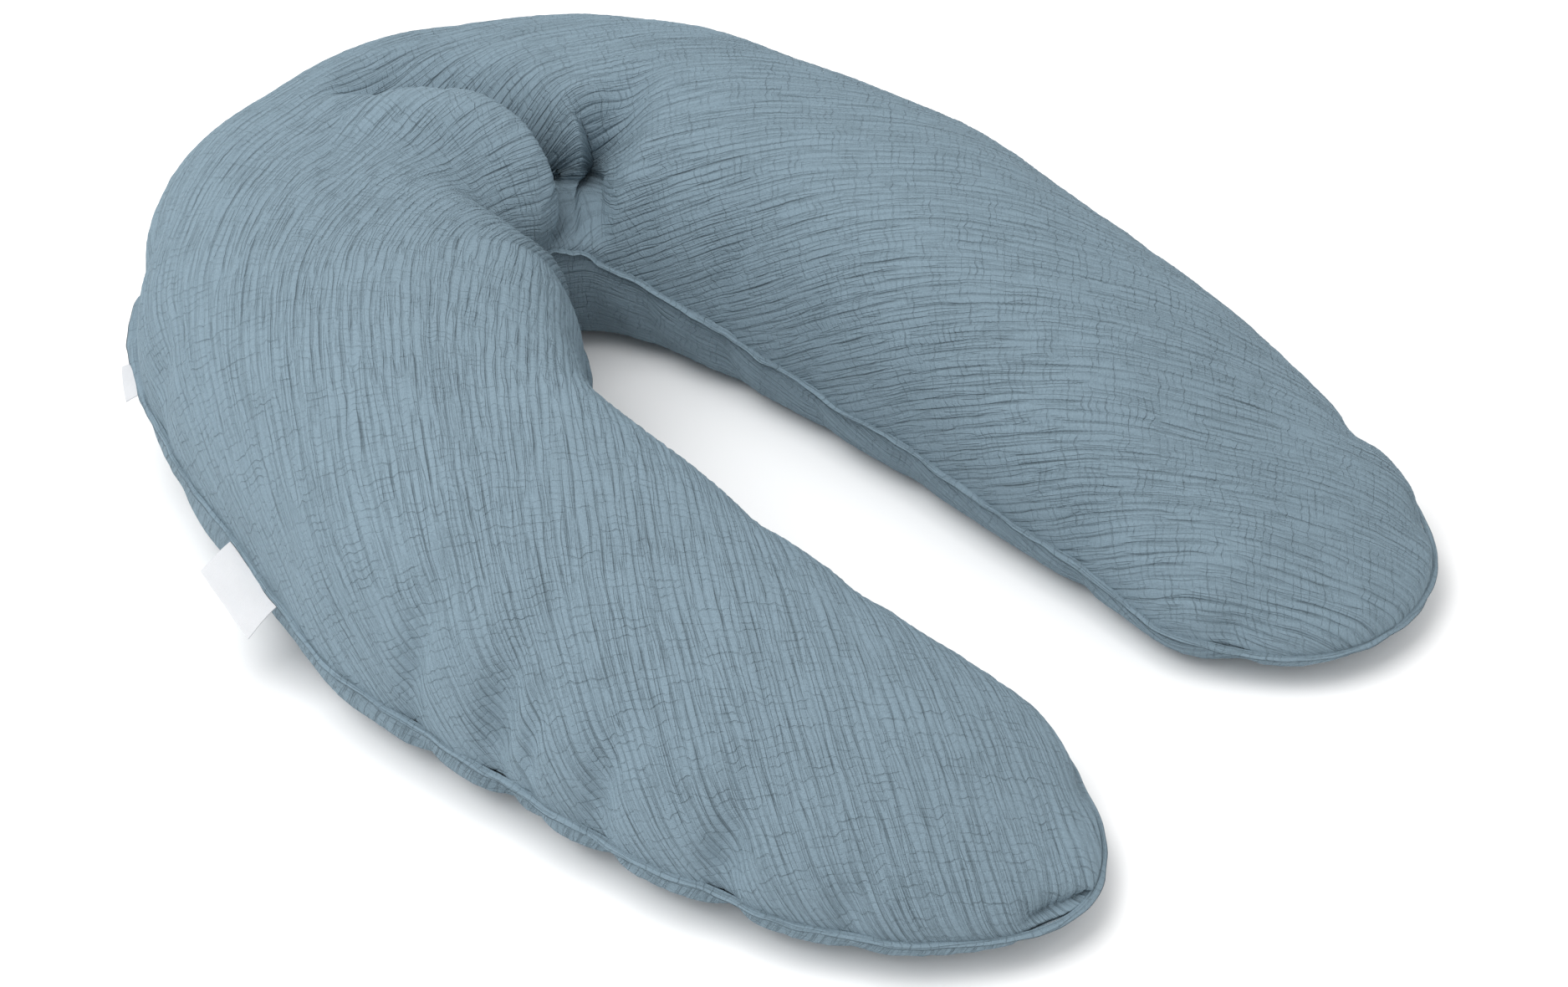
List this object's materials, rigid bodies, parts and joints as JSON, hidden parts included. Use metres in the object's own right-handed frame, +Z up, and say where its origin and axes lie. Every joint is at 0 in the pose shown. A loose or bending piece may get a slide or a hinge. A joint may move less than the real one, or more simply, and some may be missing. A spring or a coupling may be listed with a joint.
{
  "type": "nursing pillow",
  "caption": "Long bead-filled nursing pillow bent into a U, in a zipped crinkled muslin cover over an inner bag, with arms that open and close.",
  "frame": {"origin": "middle of the underside, at the centre of the bounding box's bottom face", "axes": "+Y towards the crown of the U, the arms run towards -Y, +Z up"},
  "size_m": [0.694, 0.8862, 0.227],
  "materials": {
    "muslin": "crinkled double gauze, matt",
    "bag_cotton": "plain woven cotton, matt",
    "beads": "fine foam beads",
    "zip_tape": "herringbone tape",
    "zip_plastic": "moulded coil",
    "zip_metal": "die cast, satin",
    "label_white": "woven satin ribbon"
  },
  "bodies": {
    "crown": {"cover_top_crown": "muslin", "cover_bottom_crown": "muslin", "bag_top_crown": "bag_cotton", "bag_bottom_crown": "bag_cotton", "bead_fill_crown": "beads", "seam_crown_inside": "muslin", "seam_crown_left": "muslin", "seam_crown_right": "muslin", "zip_tape_upper": "zip_tape", "zip_tape_lower": "zip_tape", "zip_coil_upper": "zip_plastic", "zip_coil_lower": "zip_plastic", "zip_top_stop_upper": "zip_metal", "zip_top_stop_lower": "zip_metal", "zip_bottom_stop": "zip_metal", "bag_zip_tape_upper": "zip_tape", "bag_zip_tape_lower": "zip_tape", "bag_zip_coil_upper": "zip_plastic", "bag_zip_coil_lower": "zip_plastic", "bag_zip_top_stop_upper": "zip_metal", "bag_zip_top_stop_lower": "zip_metal", "bag_zip_bottom_stop": "zip_metal", "side_label": "label_white", "care_label": "label_white"},
    "left_arm": {"cover_top_left_arm": "muslin", "cover_bottom_left_arm": "muslin", "bag_top_left_arm": "bag_cotton", "bag_bottom_left_arm": "bag_cotton", "bead_fill_left_arm": "beads", "seam_left_arm": "muslin"},
    "right_arm": {"cover_top_right_arm": "muslin", "cover_bottom_right_arm": "muslin", "bag_top_right_arm": "bag_cotton", "bag_bottom_right_arm": "bag_cotton", "bead_fill_right_arm": "beads", "seam_right_arm": "muslin"},
    "zip_slider": {"zip_slider": "zip_metal"},
    "zip_pull": {"zip_pull": "zip_metal"},
    "bag_zip_slider": {"bag_zip_slider": "zip_metal"}
  },
  "joints": [
    {"name": "left_arm_bend", "type": "hinge", "parent": "crown", "child": "left_arm", "pos_m": [-0.33273, 0.03564, 0], "axis": [0, 0, -1], "range_deg": [-5, 30]},
    {"name": "right_arm_bend", "type": "hinge", "parent": "crown", "child": "right_arm", "pos_m": [0.34292, 0.04579, 0], "axis": [0, 0, 1], "range_deg": [-5, 30]},
    {"name": "zip_travel", "type": "hinge", "parent": "crown", "child": "zip_slider", "pos_m": [0.00106, 0.15414, 0], "axis": [0, 0, 1], "range_deg": [0, 78]},
    {"name": "zip_pull_swing", "type": "hinge", "parent": "zip_slider", "child": "zip_pull", "pos_m": [0.18555, 0.38163, 0.108], "axis": [0, 0, -1], "range_deg": [0, 150]},
    {"name": "bag_zip_travel", "type": "hinge", "parent": "crown", "child": "bag_zip_slider", "pos_m": [0.00106, 0.15414, 0], "axis": [0, 0, 1], "range_deg": [0, 55.9]}
  ]
}
